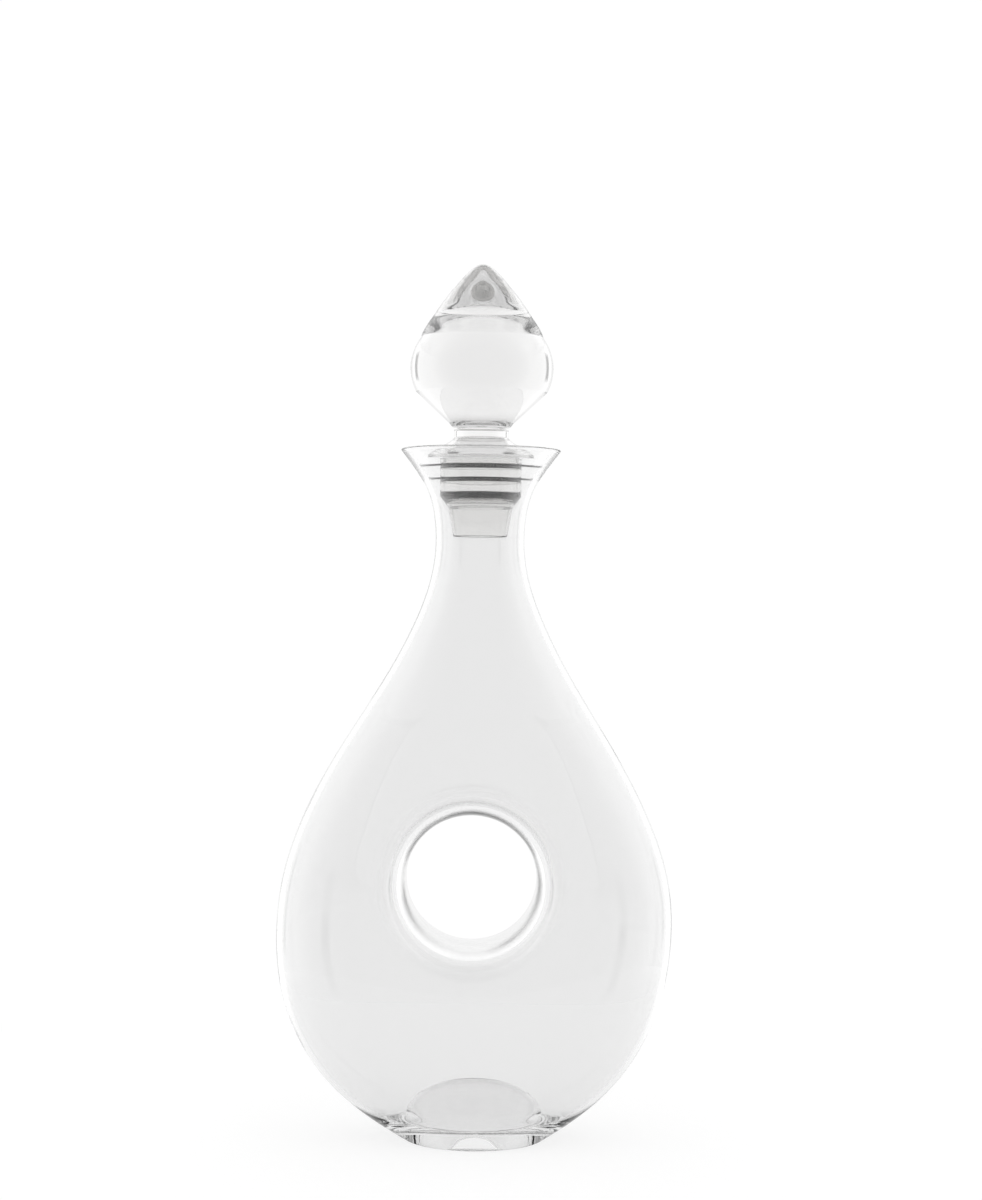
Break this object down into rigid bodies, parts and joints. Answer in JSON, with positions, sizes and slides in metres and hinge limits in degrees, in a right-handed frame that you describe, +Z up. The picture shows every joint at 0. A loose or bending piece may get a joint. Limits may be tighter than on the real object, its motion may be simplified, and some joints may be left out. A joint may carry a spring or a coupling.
{
  "type": "wine decanter",
  "caption": "Clear glass wine decanter: flattened teardrop body with a round eye through it, flared lip, and a pointed glass stopper on a ribbed plastic seal that lifts out of the neck.",
  "frame": {"origin": "centre of the round foot, on the surface that the decanter stands on", "axes": "+Z up along the neck; X along the body's width; Y along the eye, the short way through the body"},
  "size_m": [0.1533, 0.077, 0.3388],
  "materials": {
    "clear_glass": "clear polished blown glass",
    "stopper_glass": "clear polished solid glass",
    "clear_plastic": "clear moulded soft plastic"
  },
  "bodies": {
    "decanter": {"decanter_body": "clear_glass"},
    "seal": {"stopper_seal": "clear_plastic"},
    "stopper": {"stopper_glass": "stopper_glass"}
  },
  "joints": [
    {"name": "stopper_lift", "type": "slide", "parent": "decanter", "child": "seal", "axis": [0, 0, 1], "range_m": [0, 0.12]},
    {"name": "stopper_twist", "type": "hinge", "parent": "seal", "child": "stopper", "pos_m": [0, 0, 0.2567], "axis": [0, 0, 1], "continuous": true}
  ]
}
